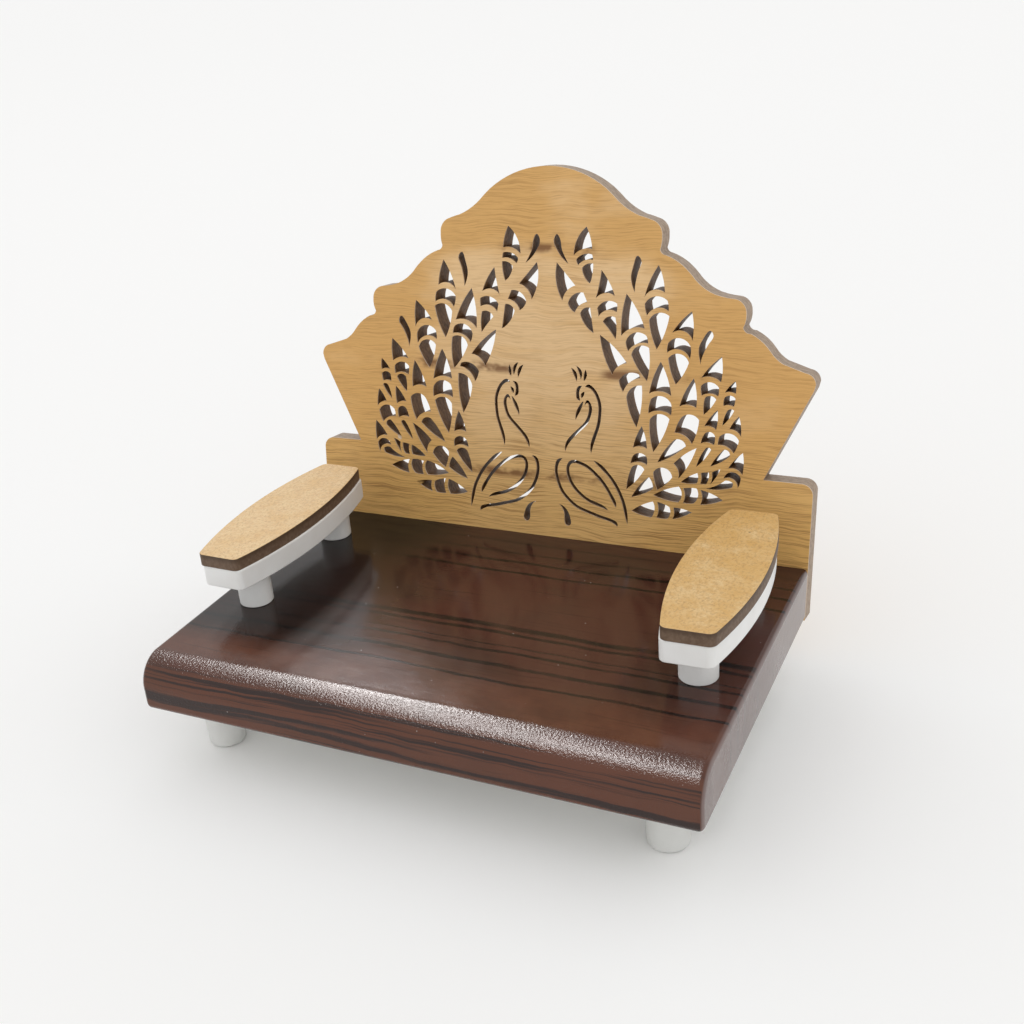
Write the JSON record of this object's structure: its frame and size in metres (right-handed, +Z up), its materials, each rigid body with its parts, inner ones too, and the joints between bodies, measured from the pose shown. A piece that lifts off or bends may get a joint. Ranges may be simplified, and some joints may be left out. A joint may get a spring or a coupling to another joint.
{
  "type": "deity simhasan throne",
  "caption": "Small household deity seat: low bullnose board on round feet, leaning pierced back panel of paired peacocks, bowed armrests on posts.",
  "frame": {"origin": "middle of the footprint on the surface that the feet stand on", "axes": "+Z up, -Y the open front of the seat, +X to the right as seen from the front"},
  "size_m": [0.184, 0.1466, 0.1646],
  "materials": {
    "fibreboard": "raw fine fibreboard, matt",
    "white_facing": "thin white melamine facing",
    "wood_print_foil": "glossy dark red-brown wood-print foil",
    "sawn_wood": "pale veneered board with burnt sawn edges, unvarnished",
    "white_plastic": "satin white",
    "zinc_steel": "zinc plated"
  },
  "bodies": {
    "root": {"seat_core": "fibreboard", "seat_facing": "white_facing", "seat_foil": "wood_print_foil", "back_panel": "sawn_wood", "arm_plate_left": "white_plastic", "arm_plate_right": "white_plastic", "arm_pad_left": "fibreboard", "arm_pad_right": "fibreboard", "arm_post_left_front": "white_plastic", "arm_post_left_rear": "white_plastic", "arm_post_right_front": "white_plastic", "arm_post_right_rear": "white_plastic", "foot_left_front": "white_plastic", "foot_left_rear": "white_plastic", "foot_right_front": "white_plastic", "foot_right_rear": "white_plastic", "foot_screws": "zinc_steel", "arm_screws": "zinc_steel", "panel_screws": "zinc_steel"}
  },
  "joints": []
}
